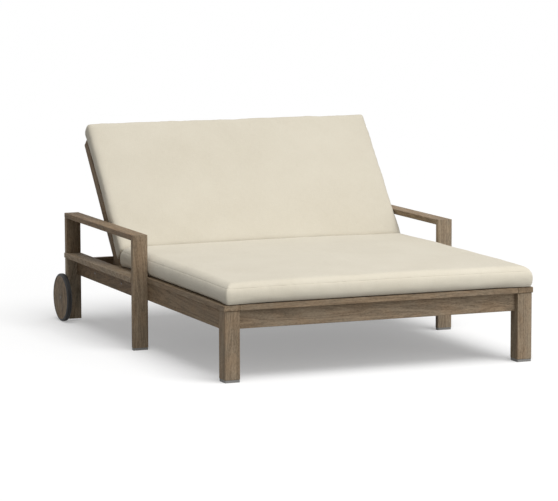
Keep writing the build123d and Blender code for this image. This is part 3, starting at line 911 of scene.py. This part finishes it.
def makePin(side, sign):
    low, high = nodeBox("wheel_disc_" + side)
    legLow, legHigh = nodeBox("rear_leg_" + side)
    outerFace = max(abs(low.x), abs(high.x)) + capForm["stand"]
    innerFace = min(abs(legLow.x), abs(legHigh.x)) - capForm["stand"]
    pin = axlePin("axle_pin_" + side, sign, outerFace, innerFace, (low.z + high.z) / 2, (low.y + high.y) / 2)
    setMaterial(pin, steel)
    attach(pin, "frame")
    return pin


pins = [makePin("left", -1), makePin("right", 1)]
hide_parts("axle_bolts")
print("axles done")


# Floor: white to the camera in open places, darker only where the object keeps light off it

floorLook = {"diffuseShare": 0.69, "albedo": 0.33, "roughness": 0.9, "reach": 60.0}


def floorMaterial():
    material, tree, shader = newMaterial("studio_floor")
    shader.inputs["Base Color"].default_value = (floorLook["albedo"],) * 3 + (1,)
    shader.inputs["Roughness"].default_value = floorLook["roughness"]
    shader.inputs["Specular IOR Level"].default_value = 0.0
    shaded = addNode(tree, "ShaderNodeBsdfDiffuse", Color=(*white, 1))
    glow = addNode(tree, "ShaderNodeEmission", Color=(*white, 1), Strength=1.0)
    look, either = addNode(tree, "ShaderNodeMixShader"), addNode(tree, "ShaderNodeMixShader")
    look.inputs[0].default_value = floorLook["diffuseShare"]
    tree.links.new(glow.outputs[0], look.inputs[1])
    tree.links.new(shaded.outputs[0], look.inputs[2])
    tree.links.new(seenRay(tree), either.inputs[0])
    tree.links.new(shader.outputs[0], either.inputs[1])
    tree.links.new(look.outputs[0], either.inputs[2])
    tree.links.new(either.outputs[0], tree.nodes["Material Output"].inputs["Surface"])
    return material


edge = floorLook["reach"]
floorCorners = np.array([[-edge, -edge, 0], [edge, -edge, 0], [edge, edge, 0], [-edge, edge, 0]])
floor = makeMesh("floor", floorCorners, np.array([[0, 1, 2, 3]]))
setMaterial(floor, floorMaterial())


# World and lamps

studio = {
    "fill": 0.27,
    "keyStrength": 2.48,
    "keyFrom": (0.10, -0.36, 0.90),   # direction from the object to the key light
    "keySpread": 50,                  # degrees that the key light covers in the sky
    "keyDistance": 10,
    "sidePlace": (1.8, -4.2, 1.6),    # soft box in front, a little to the right
    "sideAim": (0, 0, 0.3),
    "sideSize": 2.5,
    "sidePower": 46.0,
}


def makeWorld():
    world = bpy.data.worlds.new("studio")
    world.use_nodes = True
    tree = world.node_tree
    tree.nodes.clear()
    fill = addNode(tree, "ShaderNodeBackground", Color=(*white, 1), Strength=studio["fill"])
    backdrop = addNode(tree, "ShaderNodeBackground", Color=(*white, 1), Strength=1.0)
    either = addNode(tree, "ShaderNodeMixShader")
    tree.links.new(seenRay(tree), either.inputs[0])
    tree.links.new(fill.outputs[0], either.inputs[1])
    tree.links.new(backdrop.outputs[0], either.inputs[2])
    tree.links.new(either.outputs[0], addNode(tree, "ShaderNodeOutputWorld").inputs["Surface"])
    return world


def addLamp(name, kind, energy, place, aim):
    data = bpy.data.lights.new(name, kind)
    data.energy = energy
    lamp = bpy.data.objects.new(name, data)
    lamp.location = place
    lamp.rotation_euler = (Vector(aim) - lamp.location).to_track_quat("-Z", "Y").to_euler()
    bpy.context.scene.collection.objects.link(lamp)
    return data


bpy.context.scene.world = makeWorld()
sideLamp = addLamp("side", "AREA", studio["sidePower"], studio["sidePlace"], studio["sideAim"])
sideLamp.shape = "SQUARE"
sideLamp.size = studio["sideSize"]
keyPlace = Vector(studio["keyFrom"]) * studio["keyDistance"]
keyLamp = addLamp("key", "SUN", studio["keyStrength"], keyPlace, (0, 0, 0))
keyLamp.angle = math.radians(studio["keySpread"])
print("studio done")


# Camera, where the photograph was taken from

lens = {"place": (-4.76869, -11.55006, 1.98971), "yaw": 22.01, "pitch": 7.29, "roll": -0.19,
        "sensor": 36, "focal": 182.36, "shift": (0.0158, 0.0014), "clipEnd": 200}
yaw, pitch = math.radians(lens["yaw"]), math.radians(lens["pitch"])
forward = Vector((math.sin(yaw) * math.cos(pitch), math.cos(yaw) * math.cos(pitch), -math.sin(pitch)))
cameraData = bpy.data.cameras.new("camera")
cameraData.sensor_width = lens["sensor"]
cameraData.lens = lens["focal"]
cameraData.shift_x, cameraData.shift_y = lens["shift"]
cameraData.clip_end = lens["clipEnd"]
camera = bpy.data.objects.new("camera", cameraData)
camera.location = lens["place"]
roll = Matrix.Rotation(math.radians(lens["roll"]), 3, "Z")
camera.rotation_euler = (forward.to_track_quat("-Z", "Y").to_matrix() @ roll).to_euler()
bpy.context.scene.collection.objects.link(camera)
bpy.context.scene.camera = camera
bpy.context.scene.view_settings.view_transform = "Standard"
